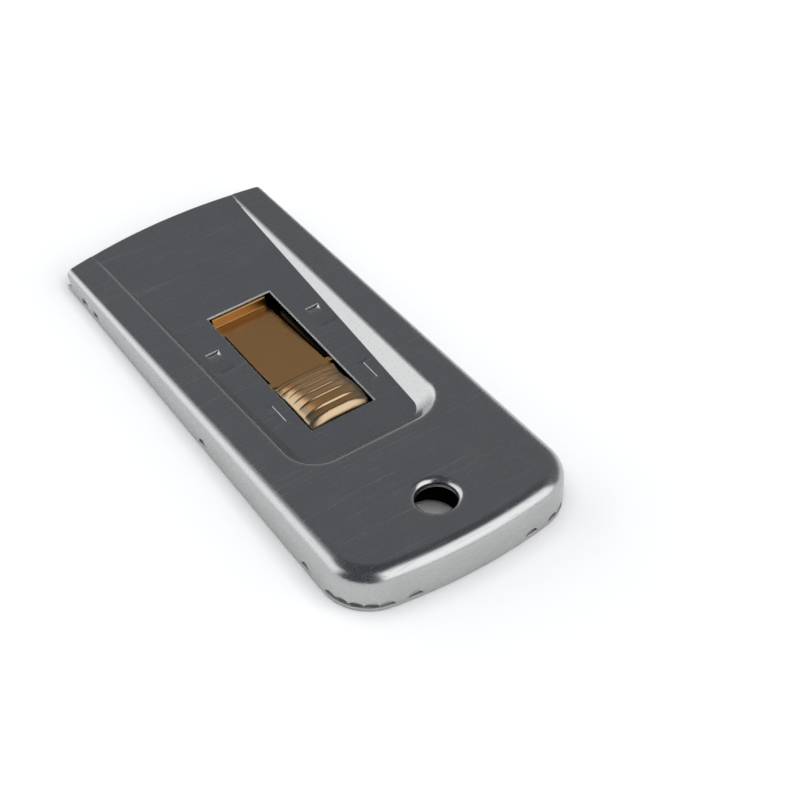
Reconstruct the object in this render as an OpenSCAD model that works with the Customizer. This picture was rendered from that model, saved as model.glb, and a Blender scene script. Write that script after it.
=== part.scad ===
// Razor blade scraper: two crimped sheet steel shells round a sprung slide that carries the blade.
// The mouth faces -Y and the tail +Y. The underside lies on Z = 0, with the origin in its middle.

/* [Housing] */
// Overall length, from the crown of the mouth to the crown of the tail
housing_len = 101.6; // [98:0.2:112]
// Width across the side walls at the mouth
mouth_w = 42.8; // [42.6:0.1:46]
// Greatest width, at the tail corners
tail_w = 47.8; // [45:0.1:52]
// Height at the mouth
mouth_h = 4.1; // [4:0.05:5]
// Height at the tail
tail_h = 8.8; // [8:0.1:11]
// Plan radius of the curved mouth
mouth_r = 105; // [90:1:160]
// Plan radius of the curved tail
tail_r = 100; // [90:1:160]
// Plan radius of the two tail corners
corner_r = 9.3; // [8:0.1:11]
// Rounding of the top edge at the mouth
mouth_edge_r = 1.15; // [0.9:0.05:1.4]
// Rounding of the top edge at the tail
tail_edge_r = 3.05; // [2:0.05:4]
// Lean of the walls from foot to rim
wall_draft = 0.15; // [0:0.05:0.3]

/* [Sheet metal] */
// Cover sheet
cover_t = 0.6; // [0.4:0.05:0.7]
// Base sheet
pan_t = 0.5; // [0.4:0.05:0.6]
// Slide sheet
slide_t = 0.5; // [0.4:0.05:0.55]
// Spring sheet
spring_t = 0.4; // [0.3:0.05:0.45]

/* [Seam] */
// Height at which the cover ends over the base
seam_z = 1.0; // [0.8:0.05:1.2]
// Height of the base's upstand inside the cover
upstand_z = 2.4; // [2.1:0.05:2.6]
// How far the base stands back from the cover's wall
pan_step = 0.15; // [0.05:0.05:0.4]
// Chamfer of the base's lower edge
pan_edge = 0.35; // [0.1:0.05:0.45]
// Length of a crimp mark along the seam
crimp_len = 3; // [2:0.1:3.4]
// Height of a crimp mark above the seam
crimp_h = 1.2; // [0.5:0.05:1.3]
// Crimp marks round each tail corner
corner_crimps = 5; // [1:1:5]

/* [Sunk panel] */
// Width of the panel's opening in the top plane
panel_w = 30.4; // [29:0.1:34]
// Reach of the opening back from the crown of the mouth
panel_len = 72.6; // [70:0.1:76]
// Corner radius of the opening
panel_r = 6.7; // [6:0.1:9]
// Width of the blend round the opening
panel_blend = 0.7; // [0.3:0.05:1]
// Depth of the panel floor at the mouth
panel_dip = 0.05; // [0.02:0.01:0.1]

/* [Thumb window] */
// Width of the window
window_w = 13.24; // [13:0.02:14]
// Length of the window
window_len = 34; // [33:0.1:36]
// Distance from the crown of the mouth to the window
window_setback = 27.7; // [27:0.1:29]

/* [Lances and coined marks] */
// Sideways place of the lances
lance_x = 10.7; // [10.4:0.1:11.2]
// Width of a lance
lance_w = 2.6; // [2:0.1:3]
// Length of a lance
lance_len = 2.5; // [2:0.1:3]
// Drop of a lance's free edge
lance_drop = 0.7; // [0.5:0.05:0.8]
// Slit ahead of a lance
lance_slit = 0.3; // [0.2:0.05:0.4]
// Distance from the window's front to the lances' free edges
lance_setback = 8; // [7:0.1:9]
// Length of the marks that lie across the panel
dash_len = 3.5; // [3:0.1:4]
// Distance from the window's front to the marks across the panel
dash_setback = 13.4; // [13:0.1:15]
// Sideways place of the marks that lie along the panel
bar_x = 9.7; // [9.5:0.1:10]
// Length of the marks along the panel
bar_len = 5.3; // [4:0.1:6]
// Distance from the window's front to the middle of the marks along the panel
bar_setback = 27.3; // [26:0.1:29]
// Width of the coined marks
coin_w = 1.4; // [1:0.1:1.6]
// Depth of the coined marks
coin_depth = 0.12; // [0.05:0.01:0.2]

/* [Hanging hole] */
// Radius of the hole in the cover
hole_r = 3.7; // [3.5:0.05:3.9]
// Outer radius of the dished lip
lip_r = 4.9; // [4.8:0.05:5.2]
// Depth of the dish at the hole's rim
dish_depth = 0.73; // [0.5:0.01:0.8]
// Length of the hole's wall, drawn down from the dish
hole_wall = 0.95; // [0.8:0.05:1.1]
// Distance from the crown of the tail to the hole's centre
hole_setback = 11.9; // [11:0.1:13]
// Radius of the hole in the base
pan_hole_r = 4.8; // [4.6:0.1:5.5]
// How far the base's hole sits ahead of the cover's
pan_hole_shift = 1.5; // [0:0.1:1.6]

/* [Blade] */
// Depth of the blade, edge to back
blade_d = 19; // [18.5:0.1:19.2]
// Blade thickness
blade_t = 0.23; // [0.2:0.01:0.3]
// Width of the ground bevel
bevel_w = 1.1; // [0.8:0.1:1.5]
// Depth of the folded back
spine_d = 5; // [4.5:0.1:5.4]
// Thickness of the folded back
spine_h = 1.23; // [1.1:0.01:1.3]
// Radius of the notches at the blade's ends
notch_r = 1.5; // [1.2:0.1:1.7]
// How far the edge is tucked in behind the crown of the mouth
blade_tuck = 2.8; // [2.6:0.1:3.2]

/* [Slide] */
// Gap over the base
slide_gap = 0.1; // [0.05:0.01:0.15]
// Gap at each side of the slide, at the narrowest place it runs through
side_gap = 0.2; // [0.1:0.05:0.3]
// Gap at each end of the blade
end_gap = 0.15; // [0.05:0.05:0.2]
// Width of the arms beside the button
arm_w = 2; // [1.6:0.1:2.4]
// Sideways place of the flanges beside the tongue
flange_x = 6.2; // [6.15:0.01:6.3]
// Height to which the flanges and stops stand
flange_z = 3.2; // [3:0.05:3.25]

/* [Thumb spring] */
// Distance from the window's front to the rivets under the panel
root_setback = 2.3; // [2.2:0.1:2.8]
// Length of the tab ahead of the rivets
tab_reach = 1.8; // [1.6:0.1:2]
// Outer radius of the roll behind the tab
roll_r = 2; // [1.8:0.05:2.1]
// Radius of the sag between the roll and the tongue
sag_r = 1.5; // [1.2:0.05:1.8]
// Gap from the base to the lowest place of the tongue
low_gap = 0.44; // [0.3:0.02:0.5]
// Width of the tongue
tongue_w = 11.5; // [11:0.05:11.6]
// Width across the shoulders under the cover
shoulder_w = 15.2; // [14.6:0.1:15.8]
// Length of the shoulders
shoulder_len = 1.2; // [1:0.1:1.5]
// Width of the button
button_w = 12.2; // [12:0.05:12.4]
// Length of the button
button_len = 12.8; // [12:0.1:13.2]
// Height of the first ridge over the panel floor
first_ridge_h = 0.15; // [0.05:0.05:0.4]
// Height of the last ridge over the panel floor
last_ridge_h = 1.65; // [1.2:0.05:2]
// Number of ridges
ridges = 7; // [4:1:8]
// Depth of the first groove between the ridges
first_groove = 0.08; // [0.05:0.01:0.2]
// Depth of the last groove between the ridges
last_groove = 0.36; // [0.2:0.02:0.5]
// Width of the button's sloping flanks
flank_w = 3.9; // [3:0.1:4.6]
// Height of the button's sloping flanks
flank_h = 2.6; // [2.2:0.1:3]
// Distance from the front of the button to its first ridge
front_reach = 1.5; // [1.2:0.1:1.8]
// Distance from the last ridge to the rear of the button
rear_reach = 0.75; // [0.6:0.05:0.9]
// Gap behind the button in the window
button_gap = 0.42; // [0.3:0.02:0.6]
// Radius of the rivets' shanks
rivet_r = 0.9; // [0.7:0.05:1]
// Radius of the rivets' heads
rivet_head_r = 1.6; // [1.5:0.05:1.8]

/* [Hidden] */

// Overrun of every cut
cut = 1;
$fn = 96;
// Steps of the rounded shell: its corners, the section of its rim and half its shallow tail arc
corner_fn = 48;
rim_fn = 24;
tail_steps = 5;

// Housing
mouth_y = -housing_len / 2;
tail_y = housing_len / 2;
rise = atan((tail_h - mouth_h) / housing_len);
mouth_side_y = mouth_y + mouth_r - sqrt(mouth_r * mouth_r - mouth_w * mouth_w / 4);
tail_centre_y = tail_y - tail_r;
corner_x = tail_w / 2 - corner_r;
corner_y = tail_centre_y + sqrt(pow(tail_r - corner_r, 2) - corner_x * corner_x);
corner_turn = asin(corner_x / (tail_r - corner_r));

// Sunk panel: the floor is level, meets the mouth flush and is walled by 45 degree slopes
floor_z = mouth_h - panel_dip;
under_z = floor_z - cover_t;
panel_depth = tail_h - mouth_h;
slope_angle = 45;
blend_angle = slope_angle / 2;
blend_fall = panel_blend * sin(slope_angle);

// Thumb window and what is pressed beside it
window_front = mouth_y + window_setback;
window_rear = window_front + window_len;
lance_y = window_front + lance_setback;
lance_tilt = asin(lance_drop / lance_len);
dash_y = window_front + dash_setback;
bar_y = window_front + bar_setback;

// Hanging hole: the dish leaves the top plane in an arc and ends in a straight wall
hole_y = tail_y - hole_setback;
dish_w = lip_r - hole_r;
dish_r = (dish_w * dish_w + dish_depth * dish_depth) / (2 * dish_depth);

// Crimp marks: low arcs that stand on the seam
crimp_r = (crimp_len * crimp_len / 4 + crimp_h * crimp_h) / (2 * crimp_h);
crimp_z = seam_z + crimp_h - crimp_r;
side_crimp_shares = [0.074, 0.114, 0.5, 0.84];
tail_crimp_share = 0.25;
crimp_start = 10;
crimp_turn = 16;

// Slide: plate, raised blade seat, lips, bridge, flanges, stops and arms
slide_z = pan_t + slide_gap;
plate_z = slide_z + slide_t;
seat_z = plate_z + (spine_h - blade_t) / 2;
lip_z = seat_z + blade_t + slide_t;
edge_y = mouth_y + blade_tuck;
spine_rear = edge_y + blade_d;
spine_front = spine_rear - spine_d;
seat_front = edge_y + bevel_w;
seat_rear = spine_front - end_gap;
slide_rear = lance_y - lance_slit;
slide_half_w = min(side_x(mouth_y), side_x(slide_rear)) - cover_t - pan_t - side_gap;
blade_w = 2 * (slide_half_w - slide_t - end_gap);
notch_share = 1.6;
notch_y = spine_front - notch_share * notch_r;
stop_share = 0.25;
stop_x = stop_share * blade_w;
well_half_w = flange_x - slide_t / 2;
well_front = window_front + slide_t;

// Thumb spring: tab, roll, tongue with its shoulders, and ridged button
tab_top = under_z - spring_t;
tab_mid = tab_top - spring_t / 2;
bridge_z = tab_top - spring_t - end_gap;
rivet_y = window_front - root_setback;
rivet_share = 0.25;
rivet_x = rivet_share * tongue_w;
rivet_head_t = spring_t / 2;
head_gap_share = 0.2;
head_gap = head_gap_share * spring_t;
tab_front = rivet_y - tab_reach;
roll_y = window_front + spring_t;
roll_steps = 7;
sag_steps = 5;
low_top = pan_t + low_gap + spring_t;
roll_turn = acos(1 - (tab_top - low_top) / (roll_r + sag_r));
low_y = roll_y + (roll_r + sag_r) * sin(roll_turn);
shoulder_top = under_z - end_gap;
button_rear = window_rear - button_gap;
fold_y = button_rear - button_len;
shoulder_y = fold_y - shoulder_len;
skirt_z = under_z - 2 * spring_t;
tongue_climb = atan((shoulder_top - low_top) / (fold_y + spring_t - low_y));
ridge_y = fold_y + front_reach;
last_ridge_y = button_rear - rear_reach;
ridge_pitch = (last_ridge_y - ridge_y) / (ridges - 1);
flank_shares = [[0, 0], [0.27, 0.07], [0.47, 0.16], [0.66, 0.28], [0.84, 0.42], [0.97, 0.58], [1, 1]];
rear_shares = [[0.67, 0.2], [1, 0.55]];

// Slide parts that follow the spring
bridge_len = 2 * tab_reach;
flange_front = low_y + sag_r;
flange_rear = shoulder_y - spring_t;
arm_inner = button_w / 2 + spring_t;
bar_front = button_rear + cut;
slide_tail = bar_front + arm_w;

// Half width of the side walls at a place along the housing
function side_x(y) = mouth_w / 2 + (tail_w - mouth_w) / 2 * (y - mouth_y) / (corner_y - mouth_y);

// Direction of a path at one of its points, and the unit direction square to it
function along(p, i) = p[min(i + 1, len(p) - 1)] - p[max(i - 1, 0)];
function across(p, i) = [-along(p, i)[1], along(p, i)[0]] / norm(along(p, i));

// Height of a ridge and depth of the groove behind it: both grow evenly towards the tail
function ridge_z(i) = floor_z + first_ridge_h + (last_ridge_h - first_ridge_h) * i / (ridges - 1);
function groove(i) = first_groove + (last_groove - first_groove) * i / (ridges - 1);

// Frame that lies in the sloping top plane, with Y measured back from the mouth
module on_top() {
    translate([0, mouth_y, mouth_h]) rotate([rise, 0, 0]) children();
}

// Side profile drawn in Y and Z, pulled across X
module across_x(width) {
    rotate([90, 0, 90]) linear_extrude(width, center = true) children();
}

module both_sides() {
    children();
    mirror([1, 0, 0]) children();
}

// Place on the tail's shallow arc, for a share of its turn from -1 to 1
function tail_arc(r, share) = [r * sin(share * corner_turn), tail_centre_y + r * cos(share * corner_turn)];

// Plan marks of the housing whose hull is its outline
module plan_marks(inset) {
    both_sides() translate([corner_x, corner_y]) circle(corner_r - inset, $fn = corner_fn);
    polygon(concat(
        [[inset - mouth_w / 2, mouth_y - cut], [mouth_w / 2 - inset, mouth_y - cut]],
        [for (i = [tail_steps : -1 : -tail_steps]) tail_arc(tail_r - inset, i / tail_steps)]));
}

// Marks in the top plane whose hull is the rounded rim of the housing
module rim_marks(inset) {
    both_sides() {
        translate([corner_x, corner_y - mouth_y, -tail_edge_r])
            rotate_extrude($fn = corner_fn)
                translate([corner_r - tail_edge_r - wall_draft, 0]) rim_section(tail_edge_r - inset);
        translate([mouth_w / 2 - wall_draft - mouth_edge_r, -cut, -mouth_edge_r])
            bead(mouth_edge_r - inset);
    }
    translate([0, -mouth_y, -tail_edge_r])
        for (i = [1 - tail_steps : tail_steps - 1])
            translate(tail_arc(tail_r - tail_edge_r - wall_draft, i / tail_steps))
                bead(tail_edge_r - inset);
}

module bead(r) {
    rotate_extrude($fn = corner_fn) rim_section(r);
}

module rim_section(r) {
    intersection() {
        circle(r, $fn = rim_fn);
        translate([0, -r]) square([r, 2 * r]);
    }
}

// The housing's rounded wedge, drawn in by the inset on every wall and on top
module wedge(inset) {
    hull() {
        linear_extrude(seam_z) plan_marks(inset);
        on_top() rim_marks(inset);
    }
}

// Everything ahead of the curved mouth
module ahead_of_mouth() {
    difference() {
        translate([-tail_w, mouth_y - 4 * cut, -cut]) cube([2 * tail_w, tail_w, tail_h]);
        translate([0, mouth_y + mouth_r, -2 * cut]) cylinder(h = tail_h + 4 * cut, r = mouth_r);
    }
}

// Space over the sunk panel, grown by the skin to give the panel's underside
module panel_space(skin) {
    intersection() {
        on_top() {
            panel_taper(panel_r + skin / sin(slope_angle) - panel_depth,
                        panel_r + skin / sin(slope_angle) + cut, -panel_depth, cut);
            if (skin == 0)
                panel_taper(panel_r + panel_blend - 2 * blend_fall / tan(blend_angle),
                            panel_r + panel_blend + blend_fall / tan(blend_angle),
                            -2 * blend_fall, blend_fall);
        }
        translate([-housing_len, -housing_len, floor_z - skin])
            cube([2 * housing_len, 2 * housing_len, tail_h]);
    }
}

// Tapered tray with rounded rear corners, between two heights in the top plane's frame
module panel_taper(r_low, r_high, low, high) {
    hull()
        for (x = [-1, 1], y = [-panel_r, panel_len - panel_r])
            translate([x * (panel_w / 2 - panel_r), y, low])
                cylinder(h = high - low, r1 = r_low, r2 = r_high, $fn = corner_fn);
}

// Shallow coined mark in the panel floor, grown by the skin to give its underside
module coin(width, length, skin) {
    translate([-width / 2 - skin, -length / 2 - skin, floor_z - coin_depth - skin])
        cube([width + 2 * skin, length + 2 * skin, coin_depth + skin + cut]);
}

module coins(skin) {
    both_sides() {
        translate([lance_x, dash_y, 0]) coin(dash_len, coin_w, skin);
        translate([bar_x, bar_y, 0]) coin(coin_w, bar_len, skin);
    }
}

// Lance: a tongue of the panel, bent down so that its free edge stops the slide
module lance() {
    translate([lance_x - lance_w / 2, lance_y + lance_len * cos(lance_tilt), floor_z])
        rotate([lance_tilt, 0, 0])
            translate([0, -lance_len, -cover_t]) cube([lance_w, lance_len + cover_t / 2, cover_t]);
}

module lance_slot() {
    translate([lance_x - lance_w / 2, lance_y - lance_slit, under_z - cut])
        cube([lance_w, lance_len * cos(lance_tilt) + lance_slit, cover_t + 2 * cut]);
}

// Dished lip of the hanging hole, a turned section of sheet
module hole_lip() {
    rotate_extrude()
        translate([lip_r, -dish_r])
            intersection() {
                difference() {
                    circle(dish_r);
                    circle(dish_r - cover_t);
                }
                translate([-dish_w, dish_r - dish_depth - hole_wall])
                    square([dish_w, dish_depth + hole_wall]);
            }
}

// Half-moon crimp marks through the cover's wall, down to its lower edge
module crimp_marks() {
    both_sides() {
        for (share = side_crimp_shares)
            translate([side_x(mouth_y + share * housing_len) - 2 * cover_t,
                       mouth_y + share * housing_len, 0])
                crimp();
        for (i = [0 : corner_crimps - 1])
            translate([corner_x, corner_y, 0]) rotate([0, 0, crimp_start + crimp_turn * i])
                translate([corner_r - 2 * cover_t, 0, 0]) crimp();
        translate([tail_crimp_share * tail_w, tail_y - 2 * cover_t - pan_t, 0])
            rotate([0, 0, 90]) crimp();
    }
}

module crimp() {
    translate([0, 0, crimp_z]) rotate([0, 90, 0]) cylinder(h = 2 * cover_t + cut, r = crimp_r);
}

// Slanting cut that rakes the side walls back at the mouth
module mouth_rake(back) {
    across_x(2 * mouth_w)
        polygon([[mouth_y - cut, -cut], [mouth_side_y + under_z + cut + back, -cut],
                 [mouth_side_y + back, under_z], [mouth_y - cut, under_z]]);
}

module top_cover() {
    color("#6b6c6e") {
        difference() {
            wedge(0);
            difference() {
                wedge(cover_t);
                panel_space(cover_t);
                coins(cover_t);
            }
            panel_space(0);
            coins(0);
            translate([-tail_w, -housing_len, -cut]) cube([2 * tail_w, 2 * housing_len, seam_z + cut]);
            translate([-window_w / 2, window_front, 0]) cube([window_w, window_len, tail_h]);
            both_sides() lance_slot();
            on_top() translate([0, hole_y - mouth_y, -dish_depth - hole_wall - cut])
                cylinder(h = dish_depth + hole_wall + 2 * cut, r = lip_r);
            crimp_marks();
            mouth_rake(0);
            ahead_of_mouth();
        }
        both_sides() lance();
        on_top() translate([0, hole_y - mouth_y, 0]) hole_lip();
    }
}

module base_pan() {
    color("#a8a8aa")
        difference() {
            union() {
                hull() {
                    linear_extrude(seam_z - pan_edge) plan_marks(pan_step + pan_edge);
                    translate([0, 0, pan_edge]) linear_extrude(seam_z - pan_edge) plan_marks(pan_step);
                }
                difference() {
                    intersection() {
                        wedge(cover_t);
                        translate([-tail_w, -housing_len, seam_z / 2])
                            cube([2 * tail_w, 2 * housing_len, upstand_z - seam_z / 2]);
                    }
                    mouth_rake(pan_t);
                }
            }
            translate([0, 0, pan_t])
                hull() linear_extrude(tail_h) plan_marks(cover_t + pan_t);
            translate([0, hole_y - pan_hole_shift, -cut]) cylinder(h = pan_t + 2 * cut, r = pan_hole_r);
            ahead_of_mouth();
        }
}

// Sheet metal block between two heights
module slab(x_low, x_high, y_low, y_high, z_low, z_high) {
    translate([x_low, y_low, z_low]) cube([x_high - x_low, y_high - y_low, z_high - z_low]);
}

module blade_carrier() {
    color("#8d8f92")
        difference() {
            union() {
                slab(-slide_half_w, slide_half_w, seat_rear - slide_t, slide_rear, slide_z, plate_z);
                slab(-slide_half_w, slide_half_w, seat_front, seat_rear, seat_z - slide_t, seat_z);
                slab(-slide_half_w, slide_half_w, seat_rear - slide_t, seat_rear, slide_z, seat_z);
                slab(-well_half_w, well_half_w, rivet_y - bridge_len / 2, rivet_y + bridge_len / 2,
                     bridge_z - slide_t, bridge_z);
                slab(-arm_inner - arm_w, arm_inner + arm_w, bar_front, slide_tail, slide_z, plate_z);
                both_sides() {
                    carrier_side();
                    nib();
                }
            }
            well();
            both_sides() translate([rivet_x, rivet_y, 0]) cylinder(h = tail_h, r = rivet_r);
        }
}

// One side of the slide: blade lip, back stop, bridge leg, flange, arm and end stop
module carrier_side() {
    slab(slide_half_w - slide_t, slide_half_w, seat_front, slide_rear, slide_z, lip_z);
    slab(stop_x - spine_d / 2, stop_x + spine_d / 2, spine_rear, spine_rear + slide_t,
         slide_z, lip_z);
    slab(well_half_w - slide_t, well_half_w, rivet_y - bridge_len / 2, rivet_y + bridge_len / 2,
         slide_z, bridge_z);
    slab(well_half_w, well_half_w + slide_t, flange_front, flange_rear, slide_z, flange_z);
    slab(well_half_w, arm_inner + arm_w, slide_rear - slide_t, flange_rear, slide_z, plate_z);
    slab(arm_inner, arm_inner + arm_w, flange_rear - slide_t, bar_front + slide_t, slide_z, plate_z);
    slab(lance_x - lance_w / 2, lance_x + lance_w / 2, slide_rear - slide_t, slide_rear,
         slide_z, flange_z);
}

// Nib that keys the notch in the blade's end
module nib() {
    intersection() {
        translate([blade_w / 2, notch_y, seat_z - slide_t / 2])
            cylinder(h = blade_t + slide_t, r = notch_r - end_gap);
        slab(0, slide_half_w - slide_t / 2, notch_y - notch_r, notch_y + notch_r, 0, lip_z);
    }
}

// Open well in the slide under the tongue
module well() {
    slab(-well_half_w, well_half_w, well_front, slide_rear + cut, 0, bridge_z - slide_t);
}

module thumb_spring() {
    color("#b08a4a") {
        difference() {
            intersection() {
                across_x(2 * shoulder_w) ribbon(spring_path, spring_t);
                linear_extrude(tail_h) spring_plan();
            }
            both_sides() translate([rivet_x, rivet_y, 0]) cylinder(h = tail_h, r = rivet_r + end_gap);
        }
        button();
    }
}

// Middle line of the spring sheet in Y and Z, from the tab to the fold under the button
spring_path = concat(
    [[tab_front, tab_mid]],
    [for (i = [0 : roll_steps])
        [roll_y + (roll_r - spring_t / 2) * sin(roll_turn * i / roll_steps),
         tab_top - roll_r + (roll_r - spring_t / 2) * cos(roll_turn * i / roll_steps)]],
    [for (i = [1 : sag_steps])
        [low_y + (sag_r + spring_t / 2) * sin((roll_turn + tongue_climb) * i / sag_steps - roll_turn),
         low_top + sag_r
         - (sag_r + spring_t / 2) * cos((roll_turn + tongue_climb) * i / sag_steps - roll_turn)]],
    [[fold_y + spring_t, shoulder_top - spring_t / 2]]);

// Strip of sheet along a path
module ribbon(path, sheet) {
    last = len(path) - 1;
    polygon(concat(
        [for (i = [0 : last]) path[i] + across(path, i) * sheet / 2],
        [for (i = [last : -1 : 0]) path[i] - across(path, i) * sheet / 2]));
}

module spring_plan() {
    translate([-tongue_w / 2, tab_front]) square([tongue_w, fold_y + spring_t - tab_front]);
    translate([-shoulder_w / 2, shoulder_y]) square([shoulder_w, shoulder_len]);
}

module button() {
    difference() {
        button_form(0);
        button_form(spring_t);
    }
}

// Outer form of the button, or the hollow inside its sheet
module button_form(sheet) {
    climb = atan((last_ridge_h - first_ridge_h) / (last_ridge_y - ridge_y));
    intersection() {
        across_x(button_w) button_profile(sheet);
        translate([0, ridge_y, ridge_z(0)]) rotate([climb, 0, 0])
            translate([0, 2 * button_len, 0]) rotate([90, 0, 0])
                linear_extrude(4 * button_len) arch(sheet);
    }
}

// Section of the button: flat on top, with sloping flanks that steepen downwards
module arch(sheet) {
    shoulder = button_w / 2 - flank_w;
    flank = [for (s = flank_shares) [shoulder + flank_w * s[0] - sheet, -flank_h * s[1] - sheet]];
    right = concat(flank, [[button_w / 2 - sheet, -button_w]]);
    polygon(concat(right, [for (i = [len(right) - 1 : -1 : 0]) [-right[i][0], right[i][1]]]));
}

// Side view of the button: ridges that climb gently and drop steeply towards the tail
module button_profile(sheet) {
    low = sheet == 0 ? skirt_z : skirt_z - cut;
    top = [for (i = [0 : ridges - 1], valley = [0, 1])
        [ridge_y + ridge_pitch * i + valley * groove(i), ridge_z(i) - valley * groove(i)]];
    crown = [for (i = [0 : 2 * ridges - 2]) [top[i][0], top[i][1] - sheet]];
    rear = [for (s = rear_shares)
        [last_ridge_y + rear_reach * s[0] - sheet, ridge_z(ridges - 1) - flank_h * s[1] - sheet]];
    polygon(concat(
        [[fold_y + sheet, low], [fold_y + sheet, shoulder_top - sheet]],
        crown, rear, [[button_rear - sheet, low]]));
}

module spring_rivets() {
    color("#9a9b9d")
        both_sides() translate([rivet_x, rivet_y, 0]) {
            slim = bridge_z - slide_t - rivet_head_t;
            translate([0, 0, slim]) cylinder(h = rivet_head_t, r = rivet_head_r);
            translate([0, 0, slim]) cylinder(h = tab_top + head_gap - slim + rivet_head_t, r = rivet_r);
            translate([0, 0, tab_top + head_gap]) cylinder(h = rivet_head_t, r = rivet_head_r);
        }
}

module razor_blade() {
    color("#c9ccd0")
        difference() {
            across_x(blade_w)
                polygon([[edge_y, seat_z + blade_t / 2], [edge_y + bevel_w, seat_z],
                         [spine_rear - (spine_h - blade_t) / 2, seat_z],
                         [spine_rear - (spine_h - blade_t) / 2, seat_z + blade_t],
                         [edge_y + bevel_w, seat_z + blade_t]]);
            both_sides() translate([blade_w / 2, notch_y, 0]) cylinder(h = tail_h, r = notch_r);
        }
}

module blade_spine() {
    mid = seat_z + blade_t / 2;
    fold = (spine_h - blade_t) / 2;
    color("#5f6266")
        across_x(blade_w)
            difference() {
                union() {
                    translate([spine_front, mid - spine_h / 2]) square([spine_d - spine_h / 2, spine_h]);
                    translate([spine_rear - spine_h / 2, mid]) circle(spine_h / 2);
                }
                translate([spine_front - cut, seat_z]) square([spine_d - fold + cut, blade_t]);
            }
}

top_cover();
base_pan();
blade_carrier();
thumb_spring();
spring_rivets();
razor_blade();
blade_spine();
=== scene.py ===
# %% [markdown]
# A pocket scraper pressed from sheet steel. The frame holds every piece at its real size, so this
# lesson only dresses it: it builds the smooth pressed surfaces that a plain solid lacks, and gives
# each metal the finish that its making leaves. All sizes below are in millimetres.

# %% Load the frame
import math

import bmesh
import bpy
from mathutils import Matrix, Vector


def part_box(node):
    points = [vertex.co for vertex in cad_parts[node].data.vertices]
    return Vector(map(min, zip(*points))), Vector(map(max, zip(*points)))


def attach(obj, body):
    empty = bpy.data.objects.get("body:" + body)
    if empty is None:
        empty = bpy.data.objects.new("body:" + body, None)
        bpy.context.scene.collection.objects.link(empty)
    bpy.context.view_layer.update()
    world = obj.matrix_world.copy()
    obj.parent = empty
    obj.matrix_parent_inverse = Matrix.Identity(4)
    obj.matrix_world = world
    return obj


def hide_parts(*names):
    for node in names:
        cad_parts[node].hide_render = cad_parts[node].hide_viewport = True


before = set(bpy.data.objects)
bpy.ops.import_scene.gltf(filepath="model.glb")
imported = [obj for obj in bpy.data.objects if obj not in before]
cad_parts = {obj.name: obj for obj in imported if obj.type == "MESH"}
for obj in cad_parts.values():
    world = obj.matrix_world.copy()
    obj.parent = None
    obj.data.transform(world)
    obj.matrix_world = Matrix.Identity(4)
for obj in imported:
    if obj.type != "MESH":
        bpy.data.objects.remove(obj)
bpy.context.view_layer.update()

MM = 0.001


# %% [markdown]
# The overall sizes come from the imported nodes. The rest are the sizes of the press tools: rounding
# radii, the depth of the sunk panel and the places of the small pressed features.

# %% Sizes of the housing
cover_low, cover_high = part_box("top_cover")
pan_low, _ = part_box("base_pan")
HOUSING_LEN = (cover_high[1] - pan_low[1]) / MM
TAIL_W = (cover_high[0] - cover_low[0]) / MM
MOUTH_Y = pan_low[1] / MM
TAIL_Y = cover_high[1] / MM
MOUTH_W = 42.8
MOUTH_H = 4.1
TAIL_H = 8.794
MOUTH_R = 105
TAIL_R = 100
CORNER_R = 9.3
MOUTH_EDGE_R = 1.15
TAIL_EDGE_R = 3.05
DRAFT = 0.15
SEAM_Z = cover_low[2] / MM
COVER_T = 0.6
PAN_T = 0.5
EASED = 0.12
RISE = (TAIL_H - MOUTH_H) / HOUSING_LEN
FLOOR_Z = MOUTH_H - 0.05
UNDER_Z = FLOOR_Z - COVER_T
print("housing", round(HOUSING_LEN, 2), "x", round(TAIL_W, 2), "mm, seam at", round(SEAM_Z, 2))


# %% [markdown]
# The camera looks down at the tail from the left. Its place was worked out from the outline of the
# scraper in the photograph, with the lens that gives the same narrowing towards the mouth.

# %% Camera
CAMERA_PLACE = (180.68, 283.92, 339.50)
CAMERA_RIGHT = (-0.81966, 0.57283, 0.00501)
CAMERA_UP = (-0.40491, -0.58552, 0.70230)
CAMERA_BACK = (0.40523, 0.57361, 0.71187)
FOCAL_LENGTH = 120.44
SENSOR_WIDTH = 36


def add_camera():
    """A camera whose axes are written as rows, turned into a matrix of columns."""
    data = bpy.data.cameras.new("camera")
    data.lens = FOCAL_LENGTH
    data.sensor_width = SENSOR_WIDTH
    data.clip_start = 0.01
    camera = bpy.data.objects.new("camera", data)
    bpy.context.collection.objects.link(camera)
    turn = Matrix((CAMERA_RIGHT, CAMERA_UP, CAMERA_BACK)).transposed().to_4x4()
    camera.matrix_world = Matrix.Translation(Vector(CAMERA_PLACE) * MM) @ turn
    return camera


bpy.context.scene.camera = add_camera()
print("camera at", tuple(round(c * MM, 3) for c in CAMERA_PLACE))


# %% [markdown]
# Materials are node graphs, and one helper keeps them readable: it adds a node, sets what is asked
# and links what is given. Colours are written as on a paint card and turned to linear light.

# %% Material helpers
def linear(hex_colour):
    """Linear RGBA for an sRGB hex colour."""
    parts = [int(hex_colour[i:i + 2], 16) / 255 for i in (1, 3, 5)]
    light = [c / 12.92 if c <= 0.04045 else ((c + 0.055) / 1.055) ** 2.4 for c in parts]
    return (*light, 1.0)


def add_node(tree, kind, settings=None, inputs=None):
    """A new node of that kind. inputs maps socket names or numbers to values or output sockets."""
    node = tree.nodes.new(kind)
    for name, value in (settings or {}).items():
        setattr(node, name, value)
    for name, value in (inputs or {}).items():
        if isinstance(value, bpy.types.NodeSocket):
            tree.links.new(value, node.inputs[name])
        else:
            node.inputs[name].default_value = value
    return node


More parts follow.
